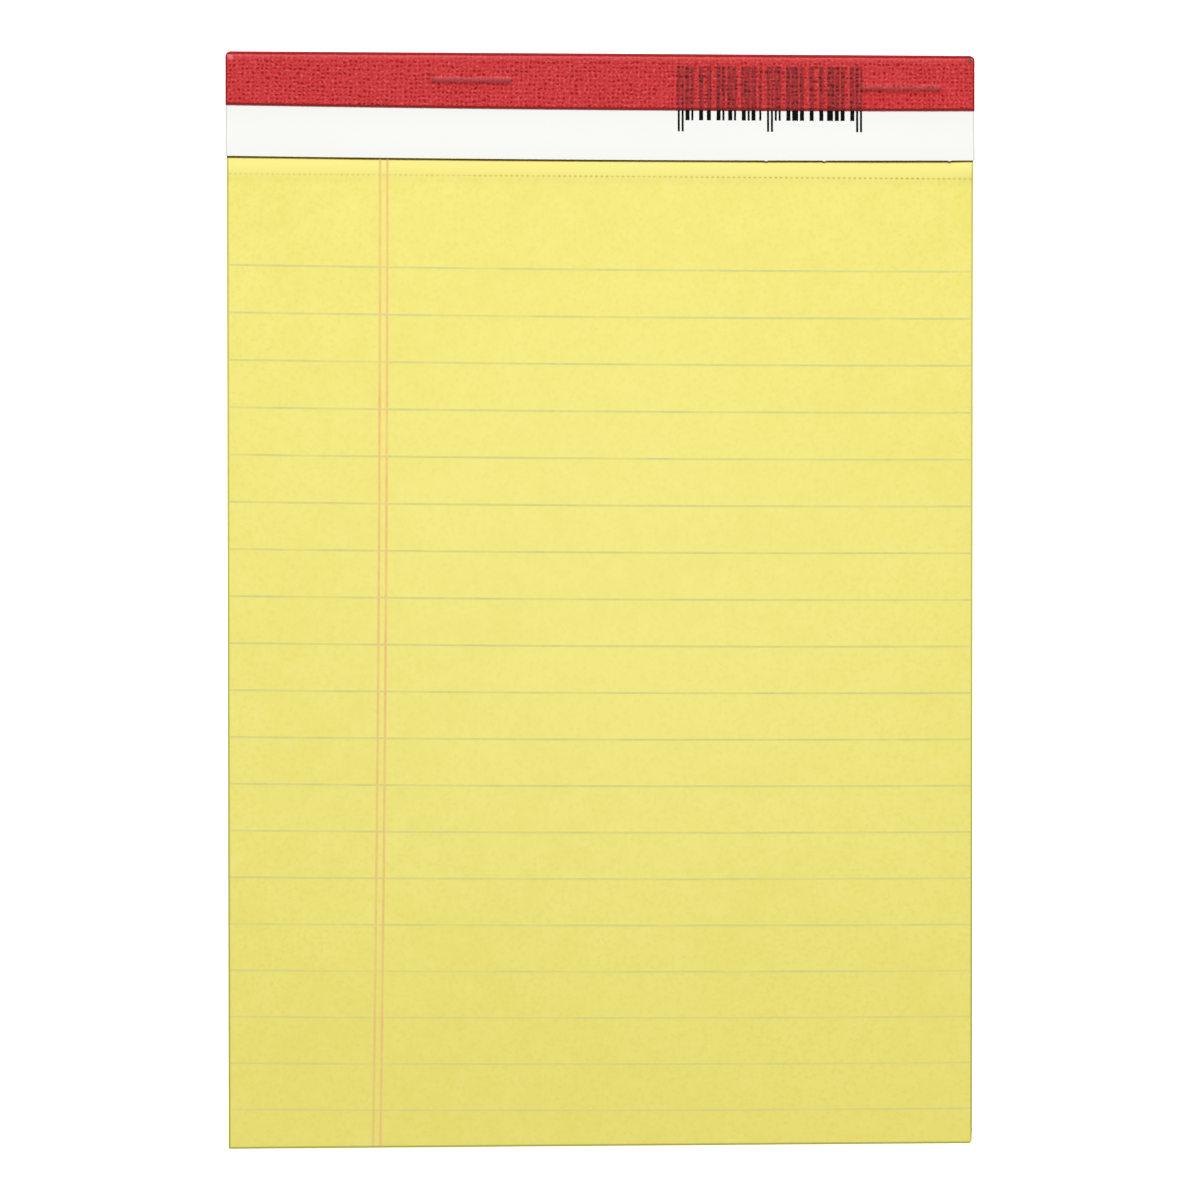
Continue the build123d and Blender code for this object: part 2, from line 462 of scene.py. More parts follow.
tear_rows = np.concatenate([
    [foot + sheet_slip, foot + worn_foot_radius, tear_line - clear_of_slits],
    [tear_line - slit_row / 2, tear_line + slit_row / 2, tear_line + clear_of_slits],
    np.linspace(head - shoulder_radius, head, 7),
])
slit_stock = flat_patches("slit_sheets", [(tear_columns, tear_rows, as_drawn)])
make_plain(slit_stock, perforation, slit_sizes)
sheet_pile(slit_stock, first=sheet_count - open_count, count=open_count - 1, seed=6)

# ==== Top sheet ==================================================================================
# The one sheet that shows, in the same paper. It lies in a faint cockle, with a soft swell
# between the header and the tear line.

cockle_height = 0.09 * mm
loose_from = 19 * mm  # from the head, as are the next four
loose_by = 60 * mm
swell_start = 15 * mm
swell_crest = 19.3 * mm
swell_end = 22.5 * mm
swell_height = 0.16 * mm
swell_grows_from = 58 * mm  # from the middle, towards the right edge
# The next twelve place the top sheet's painted sheen, foot shade, stub highlight, slit shade, header
# shadow and edge shade.
sheen_middle = 5 * mm
sheen_reach = 102 * mm
foot_shade_reach = 55 * mm
stub_blur = 1 * mm
slit_shade_core = 0.10 * mm
slit_shade_reach = 0.26 * mm
header_shadow_core = 0.22 * mm
header_shadow_left = 0.44 * mm
header_shadow_right = 0.36 * mm
sheet_edge_shade_core = 0.12 * mm
sheet_edge_shade_reach = 0.42 * mm
sheet_edge_shade_eases_at = 50 * mm  # from the head
strip_left = 17.82 * mm
strip_right = 18.02 * mm
strip_bow = 0.27 * mm


def band(tree, value, start, full, fading, end):
    """1 while value is between full and fading, 0 before start and after end."""
    return product(tree, ramp(tree, value, start, full), ramp(tree, value, fading, end, 1, 0))


def paper_lay():
    """How far the top sheet stands off the one under it, as a function of its place."""
    tree, given, end = new_tree("Lay of the top sheet", [("Place", "NodeSocketVector")],
                                [("Rise", "NodeSocketVector")])
    parts = split(tree, given["Place"])
    flat_place = point(tree, parts[0], parts[1])
    from_head = maths(tree, "SUBTRACT", head, parts[1])
    cockle = ramp(tree, noise(tree, flat_place, 22, 1, 0.4, stretch=(1, 0.6, 1)), 0.3, 0.75)
    cockle = product(tree, cockle, ramp(tree, from_head, loose_from, loose_by), cockle_height)
    swell = band(tree, from_head, swell_start, swell_crest, swell_crest, swell_end)
    swell_size = ramp(tree, parts[0], swell_grows_from, sheet_high.x, swell_height, 2 * swell_height)
    rise = maths(tree, "ADD", cockle, product(tree, swell, swell_size))
    tree.links.new(point(tree, 0, 0, rise), end.inputs[0])
    return tree


def strip_foot(x):
    """How far below the head the header's free edge lies, at share x across the pad."""
    return strip_left + (strip_right - strip_left) * x + 4 * strip_bow * x * (1 - x)


def top_paper_finish():
    """The same paper, with a painted sheen in the middle, a painted highlight on the stub, painted shade
    towards the foot and round each slit, a painted shadow under the header's edge, and painted shade in
    a thread's width along the cut edges."""
    finish, tree, shader, place = new_finish("top sheet of writing paper", 0.66, 0.08)
    parts = split(tree, place)
    colour = yellow_paper_colour(tree, place)
    # Painted sheen: the paper is paler in a broad round patch about the middle.
    from_middle = point(tree, parts[0], maths(tree, "SUBTRACT", parts[1], sheen_middle))
    from_middle = add_node(tree, "ShaderNodeVectorMath", {0: from_middle}, operation="LENGTH").outputs[1]
    pale = ramp(tree, from_middle, 0, sheen_reach, 0.36, 0)
    colour = colour_blend(tree, pale, colour, (0.90, 0.83, 0.28, 1))
    # Painted shade: the paper is darker towards the foot.
    foot_shade = ramp(tree, parts[1], foot, foot + foot_shade_reach, 0.22, 0)
    colour = colour_blend(tree, foot_shade, colour, (0.795, 0.69, 0.135, 1))
    # Painted highlight: the stub above the tear line is paler.
    stub = ramp(tree, parts[1], tear_line - stub_blur, tear_line + stub_blur)
    colour = colour_blend(tree, stub, colour, (0.865, 0.795, 0.235, 1))

    # Painted shade round each slit, stronger where the blade was sharper.
    line = maths(tree, "MULTIPLY_ADD", parts[0], -math.tan(tear_slope), tear_line)
    off_line = maths(tree, "ABSOLUTE", maths(tree, "SUBTRACT", parts[1], line))
    turn = maths(tree, "COSINE", product(tree, parts[0], math.tau / slit_pitch))
    slit_shade = ramp(tree, off_line, slit_shade_core, slit_shade_reach, 1, 0)
    uneven = ramp(tree, noise(tree, place, 300, 2, 0.6), 0.3, 0.65, 0.3, 0.8)
    sharper = ramp(tree, parts[0], blade_dull_from, blade_dull_to, 0.4, 0.8)
    slit_shade = product(tree, slit_shade, ramp(tree, turn, -0.2, 0.7), uneven, sharper)
    colour = colour_blend(tree, slit_shade, colour, (0.56, 0.48, 0.085, 1))

    # Painted shadow: a dark brown band on the paper just under the header's lifted free edge.
    share = maths(tree, "MULTIPLY_ADD", parts[0], 0.5 / pad_side, 0.5)
    bowed = product(tree, share, maths(tree, "SUBTRACT", 1, share), 4 * strip_bow)
    depth = maths(tree, "MULTIPLY_ADD", share, strip_right - strip_left, strip_left)
    depth = maths(tree, "ADD", depth, bowed)
    below = maths(tree, "SUBTRACT", maths(tree, "SUBTRACT", head, parts[1]), depth)
    reach = maths(tree, "MULTIPLY_ADD", share, header_shadow_right - header_shadow_left, header_shadow_left)
    header_shadow = ramp(tree, below, header_shadow_core, reach, 0.95, 0)
    colour = colour_blend(tree, header_shadow, colour, (0.38, 0.25, 0.006, 1))

    # Painted shade: a thin dark olive line along the side and foot edges, stronger towards the foot.
    from_side = maths(tree, "SUBTRACT", sheet_high.x, maths(tree, "ABSOLUTE", parts[0]))
    from_edge = maths(tree, "MINIMUM", from_side, maths(tree, "SUBTRACT", parts[1], foot))
    sheet_edge_shade_strength = ramp(tree, parts[1], foot, head - sheet_edge_shade_eases_at, 0.95, 0.7)
    sheet_edge_shade = product(tree, ramp(tree, from_edge, sheet_edge_shade_core, sheet_edge_shade_reach, 1, 0), sheet_edge_shade_strength)
    colour = colour_blend(tree, sheet_edge_shade, colour, (0.34, 0.33, 0.035, 1))
    cover_paper(tree, shader, place, colour)
    return finish


top_lay = paper_lay()
strip_depth = strip_foot(0.5)
# Even down the sheet, close round the tear line, sparse under the header.
rows = np.concatenate([
    np.linspace(foot, tear_line - clear_of_slits, 82),
    np.linspace(tear_line - 1.6 * mm, tear_line - slit_row / 2, 5),
    np.linspace(tear_line + slit_row / 2, head - strip_depth + 1.5 * mm, 18),
    np.linspace(head - strip_depth + 3 * mm, sheet_high.y - 1 * mm, 8),
])
top_sheet = flat_patches("top_sheet", [(tear_columns, rows, as_drawn)])
make_plain(top_sheet, perforation, slit_sizes)
top_underside = sheet_low.z + (sheet_count - 1) * sheet_pitch
make_plain(top_sheet, flat_stock_tree("Top sheet", top_paper_finish(), top_lay), {
    "Thickness": paper_thickness, "Underside": top_underside})
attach(top_sheet, "root")
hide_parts("ruled_sheets")

# ==== Ruling =====================================================================================
# Pale grey-green rules and a doubled orange-pink margin line, printed by disc on the web of paper
# before it was cut. The ink is thin and broken, and the lines bow a little out of true.

paper_top = top_underside + paper_thickness
ink_above = 0.006 * mm
ink_film = 0.014 * mm
rule_count = 19
rule_pitch = 7.9375 * mm
first_rule = 36.8 * mm
rule_width = 0.34 * mm
rule_slope = math.radians(0.11)
rule_sag = 0.31 * mm
rule_lean = 0.25 * mm
rule_bow = 0.25 * mm
rule_crowding = 0.38 * mm
sheet_edge_shade_width = 0.3 * mm  # the painted edge shade hides the ink there
margin_drift = 1.42 * mm
left_margin = 25.82 * mm
right_margin = 27.05 * mm
margin_width = 0.42 * mm
line_fraying = 0.02 * mm
rule_stations = 320
margin_stations = 520
first_rule_seed = 100
margin_above = 0.003 * mm  # the margin lines are printed over the rules


def ink_finish(name, ink, strength, along, at_foot):
    """Ink that has sunk into the paper, uneven along the line and weaker towards the foot."""
    finish, tree, shader, place = new_finish(name, 0.62, 0.2)
    patchy = noise(tree, place, 130, 4, 0.65, stretch=along)
    fine = noise(tree, place, 1100, 2, 0.6)
    cover = ramp(tree, patchy, 0.30, 0.68, strength[0], strength[1])
    weaker = ramp(tree, split(tree, place)[1], foot, 0, at_foot, 1)
    cover = product(tree, cover, ramp(tree, fine, 0.25, 0.6, 0.7, 1), weaker)
    colour = colour_blend(tree, cover, (0.812, 0.735, 0.185, 1), ink)
    set_colour(tree, shader, colour)
    return finish


def frayed(count, seed):
    """How far a line's two edges wander at each of count stations."""
    wander = random.Random(seed)
    return np.array([wander.uniform(-line_fraying, line_fraying) for _ in range(count)])


def rule_patch(number):
    """One rule across the sheet, leaning and bowing with the print."""
    line = head - first_rule - number * rule_pitch
    across = np.linspace(sheet_low.x + sheet_edge_shade_width, sheet_high.x - sheet_edge_shade_width, rule_stations)
    fray = frayed(rule_stations, first_rule_seed + number)
    down = 2 * number / (rule_count - 1) - 1

    def bend(x, y):
        side = x / sheet_high.x
        sag = rule_sag + rule_lean * side - rule_bow * side ** 2 - rule_crowding * down ** 2
        return x, y * (1 + fray / rule_width) + line - x * math.tan(rule_slope) - sag

    return across, np.array([-rule_width / 2, rule_width / 2]), bend


def margin_patch(from_left, seed):
    """One margin line from under the header to the foot."""
    down = np.linspace(foot + sheet_edge_shade_width, head - strip_depth + 2 * mm, margin_stations)
    fray = frayed(margin_stations, seed)[:, None]

    def bend(x, y):
        share = (head - y) / (head - foot)
        centre = sheet_low.x + from_left - margin_drift * share ** 2
        return x * (1 + fray / margin_width) + centre, y

    return np.array([-margin_width / 2, margin_width / 2]), down, bend


def print_lines(name, patches, lay, finish, surface):
    """Lays thin ink patches on a surface."""
    ink = flat_patches(name, patches)
    make_plain(ink, flat_stock_tree(name, finish, lay), {
        "Thickness": ink_film, "Underside": surface + ink_above - ink_film})
    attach(ink, "root")
    return ink


rule_ink = ink_finish("rule ink", (0.28, 0.42, 0.305, 1), (0.14, 0.41), (1, 6, 1), 0.65)
rules = print_lines("rules", [rule_patch(n) for n in range(rule_count)], top_lay, rule_ink, paper_top)
for name, from_left, seed, strength, at_foot in (
        ("left_margin_line", left_margin, 40, (0.38, 0.69), 0.8),
        ("right_margin_line", right_margin, 41, (0.39, 0.72), 0.9)):
    margin_ink = ink_finish(name, (0.825, 0.37, 0.205, 1), strength, (6, 1, 1), at_foot)
    margin = print_lines(name, [margin_patch(from_left, seed)], top_lay, margin_ink,
                         paper_top + margin_above)

# ==== Header strip ===============================================================================
# A strip of thin white-coated card with a grey-brown core, stitched down with the sheets at its
# top. Its lower edge is free and stands off the paper in a slight bow.

card_thickness = strip_high.z - strip_low.z
card_head = head - shoulder_radius
edge_lift = 0.30 * mm
held_to = 9 * mm  # from the head
lifted_by = 20 * mm
burr_places = (27.9 * mm, 37.8 * mm, 59.2 * mm)
burr_reach = 0.22 * mm
burr_length = 0.16 * mm
# Where the painted shade on the card's face along its side edges lies.
card_edge_shade_core = 0.10 * mm
card_edge_shade_reach = 0.30 * mm


def card_lay():
    """How far the strip stands off the pad: nothing under the tape, most at its free edge."""
    tree, given, end = new_tree("Lay of the header strip", [("Place", "NodeSocketVector")],
                                [("Rise", "NodeSocketVector")])
    parts = split(tree, given["Place"])
    from_head = maths(tree, "SUBTRACT", head, parts[1])
    bow = ramp(tree, from_head, held_to, lifted_by, 0, 1, "SMOOTHERSTEP")
    uneven = ramp(tree, noise(tree, point(tree, parts[0]), 30, 2, 0.5), 0.25, 0.75, 0.75, 1.25)
    tree.links.new(point(tree, 0, 0, product(tree, bow, uneven, edge_lift)), end.inputs[0])
    return tree


def white_card_finish():
    finish, tree, shader, place = new_finish("white coated card", 0.5, 0.15)
    clouds = noise(tree, place, 45, 3, 0.5)
    grain = noise(tree, place, 1800, 3, 0.6)
    colour = colour_blend(tree, clouds, (0.800, 0.810, 0.772, 1), (0.818, 0.824, 0.788, 1))
    colour = colour_blend(tree, ramp(tree, grain, 0.62, 0.8, 0, 0.12), colour, (0.70, 0.69, 0.62, 1))
    # Painted shade: a grey line on the card's face along its side edges.
    side = maths(tree, "ABSOLUTE", split(tree, place)[0])
    cut = ramp(tree, side, pad_side - card_edge_shade_reach, pad_side - card_edge_shade_core, 0, 0.75)
    colour = colour_blend(tree, cut, colour, (0.36, 0.37, 0.38, 1))
    set_colour(tree, shader, colour)
    add_relief(tree, shader, grain, 0.004 * mm)
    return finish


def card_core_finish():
    finish, tree, shader, place = new_finish("card core", 0.9, 0.05)
    fibres = noise(tree, place, 2200, 3, 0.6)
    colour = colour_blend(tree, fibres, (0.30, 0.18, 0.05, 1), (0.42, 0.28, 0.10, 1))
    set_colour(tree, shader, colour)
    return finish


def strip_bend(x, y):
    """Slews and bows the strip's lower edge, and leaves small burrs on it."""
    share = (card_head - y) / (card_head - (head - strip_left))
    slew = strip_foot(x / (2 * pad_side) + 0.5) - strip_left
    burr = sum(np.exp(-(((x - place) / burr_reach) ** 2)) for place in burr_places) * burr_length
    on_edge = share > 0.999
    return x, y - share * slew - np.where(on_edge, burr, 0)


header_lay = card_lay()
header = flat_patches("header_card", [(
    np.linspace(-pad_side, pad_side, 640),
    np.concatenate([np.linspace(head - strip_left, head - 8 * mm, 24),
                    np.linspace(head - 7 * mm, card_head, 5)]),
    strip_bend)])
card_body = flat_stock_tree("Header strip", white_card_finish(), header_lay, card_core_finish())
make_plain(header, card_body, {"Thickness": card_thickness, "Underside": strip_low.z})
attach(header, "root")
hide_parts("header_strip")

# ==== Bar print ==================================================================================
# A block of black bars printed on the card, part of it under the tape. The bars fall at random
# and stand for nothing.

bar_module = 31.36 / 95 * mm  # the block is 95 modules across
bar_left = 12.9 * mm
bar_gain = 0.05
bar_top = 2.2 * mm
bar_foot = 11.4 * mm
long_bar_foot = 13.3 * mm
bar_widths = (1, 1, 2, 2, 3)
bar_halves = ((4, 45), (50, 91))
long_bars = (0, 2, 46, 48, 92, 94)
bar_seed = 23


def black_ink_finish():
    finish, tree, shader, place = new_finish("black ink", 0.6, 0.03)
    fine = noise(tree, place, 2600, 2, 0.6)
    colour = colour_blend(tree, fine, (0.002, 0.002, 0.003, 1), (0.006, 0.005, 0.005, 1))
    set_colour(tree, shader, colour)
    return finish


def bar_patches():
    """Bars and gaps of one to three modules drawn by lot, with long pairs at the ends and middle."""
    lot = random.Random(bar_seed)
    bars = [(place, 1, long_bar_foot) for place in long_bars]
    at = bar_halves[0][0]
    while at < bar_halves[1][1]:
        width = lot.choice(bar_widths)
        if any(start <= at and at + width <= end for start, end in bar_halves):
            bars.append((at, width, bar_foot))
        at += width + lot.choice(bar_widths)
    patches = []
    for place, width, low in bars:
        left = bar_left + (place - bar_gain) * bar_module
        patches.append((np.linspace(left, left + (width + 2 * bar_gain) * bar_module, 2),
                        np.linspace(head - low, head - bar_top, 24), as_drawn))
    return patches


bars = print_lines("bar_print", bar_patches(), header_lay, black_ink_finish(), strip_high.z)

# ==== Binding tape ===============================================================================
# One piece of red paper tape embossed like woven cloth, glued over the head from the strip's face
# to the back of the board. The stitches rub through it and the print under it shows faintly.

flap_left = 9.18 * mm
flap_right = 9.54 * mm
flap_bow = 0.31 * mm
flap_back = tape_high.y - tape_low.y
back_radius = 0.7 * mm
shoulder_start = flap_left - shoulder_radius
thread_across = 0.78 * mm
thread_along = 0.70 * mm
grain_depth = 0.03 * mm
ridge_height = 0.19 * mm
ridge_reach = 0.85 * mm
ghost_core = 0.02 * mm
ghost_reach = 0.12 * mm
# Where the tape's painted highlight and painted shade lie.
rub_and_highlight_band = (-0.35 * mm, 0.15 * mm, 0.35 * mm, 0.62 * mm)  # past the shoulder's start
turned_shade_band = (0.42 * mm, 0.66 * mm, 1.4 * mm, 1.9 * mm)
free_edge_shade_band = (0.26 * mm, 0.42 * mm)
side_edge_shade_band = (0.18 * mm, 0.42 * mm)
scuff_in = 0.85 * mm
scuff_down = 1.15 * mm
scuff_band = (0.5 * mm, 0.95 * mm)
scuff_raggedness = 0.6 * mm
stitch_boxes = [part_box("stitch_left"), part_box("stitch_right")]


def tape_section():
    """Stations round the outside of the tape from its front edge: y, z, outward y, outward z and
    the run so far."""
    # What each run is, its start or centre, where it faces, its length or radius, its spacing.
    runs = [
        ("flat", (head - flap_left, tape_face), (0, 1), shoulder_start, 0.175 * mm),
        ("turn", (head - shoulder_radius, tape_face - shoulder_radius), 90, shoulder_radius, 0.16 * mm),
        ("flat", (head, tape_face - shoulder_radius), (1, 0),
         tape_face - shoulder_radius - back_radius, 0.23 * mm),
        ("turn", (head - back_radius, back_radius), 0, back_radius, 0.16 * mm),
        ("flat", (head - back_radius, 0), (0, -1), flap_back - back_radius, 0.34 * mm),
    ]
    stations, run = [], 0.0
    for kind, start, facing, size, step in runs:
        length = size if kind == "flat" else size * math.pi / 2
        count = round(length / step)
        for i in range(count):
            share = i / count
            if kind == "flat":
                outward = facing
                y = start[0] + facing[1] * length * share
                z = start[1] - facing[0] * length * share
            else:
                angle = math.radians(facing - 90 * share)
                outward = (math.cos(angle), math.sin(angle))
                y = start[0] + size * outward[0]
                z = start[1] + size * outward[1]
            stations.append((y, z, *outward, run + length * share))
        run += length
    stations.append((head - flap_back, 0, 0, -1, run))
    return np.array(stations)


def tape_mesh(name):
    """The closed sheet of the tape: woven side outside, a coarser glued side, cut edges."""
    outside = tape_section()
    stitch_lines = [(low.y + high.y) / 2 for low, high in stitch_boxes]
    on_front = outside[:, 3] > 0.99
    over_stitch = np.min([np.abs(outside[:, 0] - line) for line in stitch_lines], 0) < ridge_reach
    kept = (np.arange(len(outside)) % 5 == 0) | (on_front & over_stitch)
    kept[-1] = True
    inside = outside[kept][::-1].copy()
    inside[:, :2] -= inside[:, 2:4] * tape_thickness
    loop = np.concatenate([outside, inside])
    across = np.linspace(-pad_side, pad_side, 4 * round(2 * pad_side / thread_across) + 1)
    places = np.empty((len(across), len(loop), 3))
    places[:, :, 0] = across[:, None]
    places[:, :, 1:] = loop[None, :, :2]
    index = np.arange(len(across) * len(loop)).reshape(len(across), len(loop))
    after = np.roll(index, -1, axis=1)
    faces = np.stack([index[:-1], index[1:], after[1:], after[:-1]], -1).reshape(-1, 4).tolist()
    faces += [index[0].tolist(), index[-1][::-1].tolist()]
    mesh = bpy.data.meshes.new(name)
    mesh.from_pydata(places.reshape(-1, 3).tolist(), [], faces)
    is_outside = np.arange(len(loop)) < len(outside)
    for label, values in (("run", loop[:, 4]), ("woven", is_outside)):
        stored = mesh.attributes.new(label, "FLOAT", "POINT")
        stored.data.foreach_set("value", np.tile(values, len(across)).astype(np.float32))
    corner = np.empty(len(mesh.loops), np.int32)
    mesh.loops.foreach_get("vertex_index", corner)
    lay = np.stack([places[:, :, 0].ravel(), np.tile(loop[:, 4], len(across))], 1)[corner] / mm
    mesh.uv_layers.new(name="cloth").uv.foreach_set("vector", lay.astype(np.float32).ravel())
    return mesh


def distance(tree, x, y):
    """How far a place is from where x and y are 0."""
    return maths(tree, "SQRT", maths(tree, "ADD", product(tree, x, x), product(tree, y, y)))


def cloth_grain(tree, across, run):
    """Woven grain at a place on the tape: how deep a hole between threads is there, from 0 to 1,
    and how high the threads stand."""
    flat = point(tree, across, run)
    sway_across = ramp(tree, noise(tree, flat, 420, 2, 0.6), 0.2, 0.8, -0.4, 0.4)
    sway_along = ramp(tree, noise(tree, flat, 420, 2, 0.6, shift=(3, 7, 0)), 0.2, 0.8, -0.35, 0.35)
    u = maths(tree, "ADD", maths(tree, "DIVIDE", across, thread_across), sway_across)
    v = maths(tree, "ADD", maths(tree, "DIVIDE", run, thread_along), sway_along)
    cell = point(tree, maths(tree, "FLOOR", u), maths(tree, "FLOOR", v))
    lot = add_node(tree, "ShaderNodeTexWhiteNoise", {"Vector": cell}, noise_dimensions="2D").outputs
    kind = "ShaderNodeSeparateColor" if tree.type == "SHADER" else "FunctionNodeSeparateColor"
    chance = add_node(tree, kind, {0: lot["Color"]}).outputs
    from_u = maths(tree, "SUBTRACT", maths(tree, "FRACT", u), 0.5)
    from_v = maths(tree, "SUBTRACT", maths(tree, "FRACT", v), 0.5)
    wide = product(tree, from_u, ramp(tree, chance[1], 0, 1, 0.75, 1.35, "LINEAR"))
    long = product(tree, from_v, ramp(tree, chance[2], 0, 1, 0.95, 1.4, "LINEAR"))
    away = distance(tree, wide, long)
    reach = ramp(tree, chance[0], 0, 1, 0.26, 0.50, "LINEAR")
    hole = maths(tree, "SUBTRACT", 1, maths(tree, "DIVIDE", away, reach), clamp=True)
    hole = product(tree, hole, ramp(tree, chance[0], 0.05, 0.95, 0.12, 1, "LINEAR"))
    thread = maths(tree, "MAXIMUM", maths(tree, "ABSOLUTE", from_v), maths(tree, "ABSOLUTE", from_u))
    return hole, product(tree, thread, 2)


def over_stitches(tree, x, y, reach):
    """How far a place is inside the ridges that the stitches raise, from 0 to 1."""
    ridges = 0.0
    for low, high in stitch_boxes:
        off_end = maths(tree, "ABSOLUTE", maths(tree, "SUBTRACT", x, (low.x + high.x) / 2))
        half_crown = (high.x - low.x) / 2 - ridge_reach / 2
        off_end = maths(tree, "MAXIMUM", maths(tree, "SUBTRACT", off_end, half_crown), 0)
        away = distance(tree, off_end, maths(tree, "SUBTRACT", y, (low.y + high.y) / 2))
        ridge = ramp(tree, maths(tree, "DIVIDE", away, reach), 0.1, 1, 1, 0)
        ridges = maths(tree, "MAXIMUM", ridges, ridge)
    return ridges


def tape_tree(finish):
    tree, given, end = new_tree("Cloth-grained tape", [
        ("Geometry", "NodeSocketGeometry"), ("Print", "NodeSocketObject"),
        ("Grain depth", "NodeSocketFloat"), ("Ridge height", "NodeSocketFloat"),
        ("Ridge reach", "NodeSocketFloat")])
    run = add_node(tree, "GeometryNodeInputNamedAttribute", {"Name": "run"}).outputs[0]
    woven = add_node(tree, "GeometryNodeInputNamedAttribute", {"Name": "woven"}).outputs[0]
    parts = here(tree)
    on_front = ramp(tree, parts[2], tape_face - 1.5 * mm, tape_face - 0.4 * mm)

    # How near the print under the tape is, and the ridges over the stitches.
    ink = add_node(tree, "GeometryNodeObjectInfo", {"Object": given["Print"]},
                   transform_space="RELATIVE").outputs["Geometry"]
    inputs = {0: ink, "Sample Position": point(tree, parts[0], parts[1], strip_high.z)}
    gap = add_node(tree, "GeometryNodeProximity", inputs, target_element="FACES").outputs["Distance"]
    show = product(tree, ramp(tree, gap, ghost_core, ghost_reach, 1, 0), on_front)
    ridges = over_stitches(tree, parts[0], parts[1], given["Ridge reach"])
    ridges = product(tree, ridges, on_front)
    tape = given["Geometry"]
    for label, value in (("show_through", show), ("ridge", ridges)):
        inputs = {"Geometry": tape, "Name": label, "Value": value}
        tape = add_node(tree, "GeometryNodeStoreNamedAttribute", inputs).outputs[0]

    # The grain sinks into the woven side, and the front flap was laid slightly out of square.
    hole, thread = cloth_grain(tree, parts[0], run)
    sunk = maths(tree, "SUBTRACT", product(tree, thread, 0.25), maths(tree, "ADD", hole, 0.25))
    facing = add_node(tree, "GeometryNodeInputNormal").outputs[0]
    inputs = {0: facing, "Scale": product(tree, sunk, woven, given["Grain depth"])}
    offset = add_node(tree, "ShaderNodeVectorMath", inputs, operation="SCALE").outputs[0]
    side = maths(tree, "ADD", maths(tree, "DIVIDE", parts[0], 2 * pad_side), 0.5)
    back = maths(tree, "SUBTRACT", head - shoulder_radius, parts[1])
    share = maths(tree, "DIVIDE", back, shoulder_start, clamp=True)
    bowed = maths(tree, "MULTIPLY_ADD", side, side, product(tree, side, -1))
    bowed = product(tree, bowed, 4 * flap_bow)
    slew = maths(tree, "MULTIPLY_ADD", side, flap_left - flap_right, bowed)
    slew = product(tree, slew, share, on_front)
    shift = point(tree, 0, slew, product(tree, ridges, given["Ridge height"]))
    offset = add_node(tree, "ShaderNodeVectorMath", {0: offset, 1: shift}, operation="ADD").outputs[0]
    tape = crisp_edges(tree, wear_corners(tree, move_points(tree, tape, Offset=offset)))
    tree.links.new(set_finish(tree, tape, finish), end.inputs[0])
    return tree


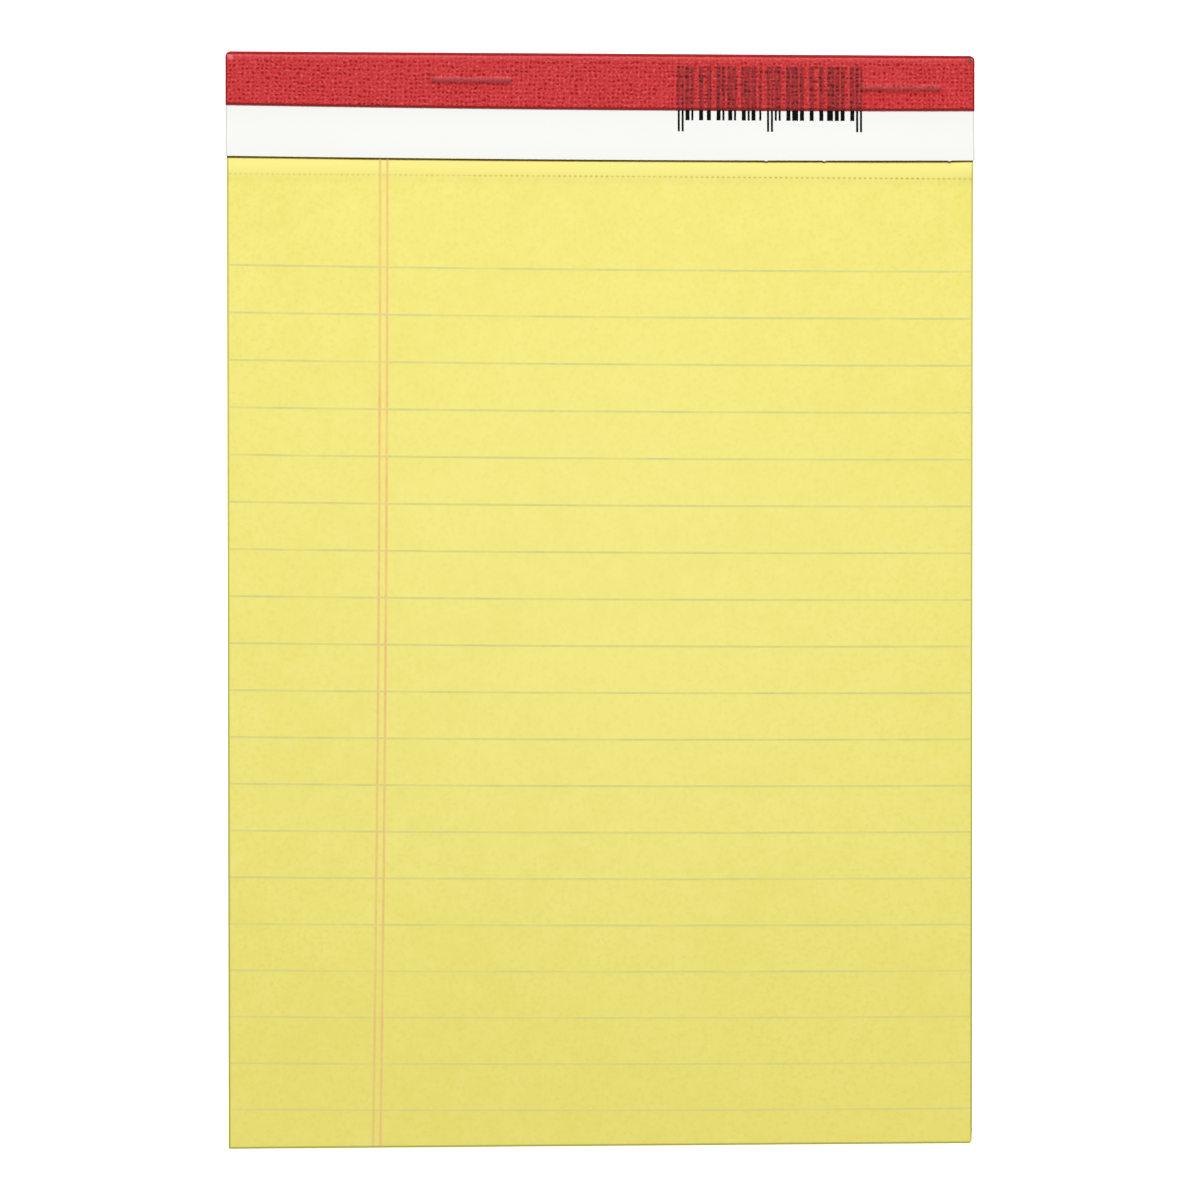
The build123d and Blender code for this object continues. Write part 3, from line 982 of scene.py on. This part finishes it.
def red_tape_finish():
    finish, tree, shader, place = new_finish("red cloth-grained tape", 0.5, 0.12)
    lay = add_node(tree, "ShaderNodeUVMap", uv_map="cloth").outputs[0]
    lay = add_node(tree, "ShaderNodeVectorMath", {0: lay, "Scale": mm}, operation="SCALE").outputs[0]
    run = split(tree, lay)[1]
    parts = split(tree, place)
    hole, thread = cloth_grain(tree, parts[0], run)
    clouds = noise(tree, lay, 140, 3, 0.55)
    fine = noise(tree, lay, 2300, 3, 0.65)
    colour = colour_blend(tree, ramp(tree, clouds, 0.3, 0.7), (0.465, 0.013, 0.014, 1),
                          (0.515, 0.020, 0.021, 1))
    # Painted highlight on the thread crests of the embossed grain.
    crest = product(tree, ramp(tree, thread, 0.35, 1), ramp(tree, fine, 0.3, 0.6, 0.2, 0.6))
    colour = colour_blend(tree, crest, colour, (0.60, 0.050, 0.054, 1))
    colour = colour_blend(tree, ramp(tree, fine, 0.5, 0.76, 0, 0.70), colour, (0.78, 0.16, 0.17, 1))
    colour = colour_blend(tree, ramp(tree, fine, 0.45, 0.27, 0, 0.65), colour, (0.37, 0.002, 0.003, 1))
    # Painted shade in the holes between the threads of the embossed grain.
    pit = ramp(tree, hole, 0.05, 0.55)
    colour = colour_blend(tree, product(tree, pit, 0.9), colour, (0.29, 0.0, 0.001, 1))

    # A painted highlight with some rub wear, pale on the shoulder, and painted shade where it turns down
    # and along its free and side edges.
    past_shoulder = maths(tree, "SUBTRACT", run, shoulder_start)
    pale = band(tree, past_shoulder, *rub_and_highlight_band)
    pale = product(tree, pale, ramp(tree, fine, 0.3, 0.6, 0.15, 0.6))
    colour = colour_blend(tree, pale, colour, (0.60, 0.065, 0.07, 1))
    # Painted shade where the tape turns down over the head, and along its free and side edges.
    turned_shade = band(tree, past_shoulder, *turned_shade_band)
    free_edge_shade = ramp(tree, run, *free_edge_shade_band, 1, 0)
    from_side = maths(tree, "SUBTRACT", pad_side, maths(tree, "ABSOLUTE", parts[0]))
    side_edge_shade = ramp(tree, from_side, *side_edge_shade_band, 1, 0)
    tape_edge_shade = maths(tree, "MAXIMUM", maths(tree, "MAXIMUM", turned_shade, free_edge_shade), side_edge_shade)
    colour = colour_blend(tree, product(tree, tape_edge_shade, 0.95), colour, (0.22, 0.0, 0.0, 1))

    # The print and the stitches darken it most in its holes, and its head corners are worn.
    show = add_node(tree, "ShaderNodeAttribute", attribute_name="show_through").outputs["Fac"]
    ridge = add_node(tree, "ShaderNodeAttribute", attribute_name="ridge").outputs["Fac"]
    patchy = ramp(tree, noise(tree, lay, 900, 3, 0.6), 0.3, 0.6, 0.55, 1)
    thin = product(tree, patchy, ramp(tree, pit, 0, 0.7, 0.62, 1))
    show = product(tree, show, thin, 0.95)
    colour = colour_blend(tree, show, colour, (0.050, 0.006, 0.006, 1))
    dotted = product(tree, thin, ramp(tree, thread, 0.35, 0.9, 0.45, 1))
    rub = product(tree, ramp(tree, ridge, 0.35, 0.9, 0, 0.95), dotted)
    colour = colour_blend(tree, rub, colour, (0.10, 0.040, 0.036, 1))
    ragged = noise(tree, place, 1500, 2, 0.6)
    for corner, worn_colour in ((-1, (0.72, 0.15, 0.17, 1)), (1, (0.11, 0.05, 0.03, 1))):
        x = maths(tree, "SUBTRACT", parts[0], corner * (pad_side - scuff_in))
        y = maths(tree, "SUBTRACT", parts[1], head - scuff_down)
        away = maths(tree, "ADD", distance(tree, x, y), product(tree, ragged, scuff_raggedness))
        colour = colour_blend(tree, ramp(tree, away, *scuff_band, 0.85, 0), colour, worn_colour)
    set_colour(tree, shader, colour)
    relief = maths(tree, "SUBTRACT", product(tree, fine, 0.3), hole)
    add_relief(tree, shader, relief, 0.02 * mm)
    return finish


tape = new_piece("cloth_tape", tape_mesh("cloth_tape"))
make_plain(tape, tape_tree(red_tape_finish()), {
    "Print": bars, "Grain depth": grain_depth, "Ridge height": ridge_height,
    "Ridge reach": ridge_reach})
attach(tape, "root")
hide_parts("binding_tape")

# ==== Desk, lights and camera ====================================================================
# The pad lies on a plain pale desk in an even white surround, with one soft light beyond its
# head, and the camera looks almost straight down on it.


def pale_desk_finish():
    finish, tree, shader, place = new_finish("pale desk", 0.9, 0.1)
    grain = noise(tree, place, 300, 2, 0.5)
    colour = colour_blend(tree, grain, (0.80, 0.80, 0.80, 1), (0.83, 0.83, 0.83, 1))
    set_colour(tree, shader, colour)
    shader.inputs["Emission Color"].default_value = (1, 1, 1, 1)
    shader.inputs["Emission Strength"].default_value = 0.80
    return finish


desk_half = 8.0
desk_mesh = bpy.data.meshes.new("desk")
desk_mesh.from_pydata([(-desk_half, -desk_half, 0), (desk_half, -desk_half, 0),
                       (desk_half, desk_half, 0), (-desk_half, desk_half, 0)], [], [(0, 1, 2, 3)])
desk = new_piece("desk", desk_mesh)
desk.data.materials.append(pale_desk_finish())


def add_light(name, place, size, power):
    """A square soft light that faces the pad."""
    lamp = bpy.data.lights.new(name, "AREA")
    lamp.size = size
    lamp.energy = power
    light = bpy.data.objects.new(name, lamp)
    light.location = place
    light.rotation_euler = (-light.location).to_track_quat("-Z", "Y").to_euler()
    bpy.context.scene.collection.objects.link(light)


add_light("beyond the head", place=(0.0, 1.0, 1.2), size=0.5, power=24.5)

world = bpy.data.worlds.new("studio")
world.use_nodes = True
world.node_tree.nodes["Background"].inputs["Color"].default_value = (1, 1, 1, 1)
world.node_tree.nodes["Background"].inputs["Strength"].default_value = 0.30
bpy.context.scene.world = world
bpy.context.scene.view_settings.view_transform = "Standard"

lens = bpy.data.cameras.new("camera")
lens.lens = 85
camera = bpy.data.objects.new("camera", lens)
camera.location = (-17.71 * mm, 5.73 * mm, 486.55 * mm)
camera.rotation_euler = tuple(math.radians(turn) for turn in (-0.672, -2.071, -0.021))
bpy.context.scene.collection.objects.link(camera)
bpy.context.scene.camera = camera
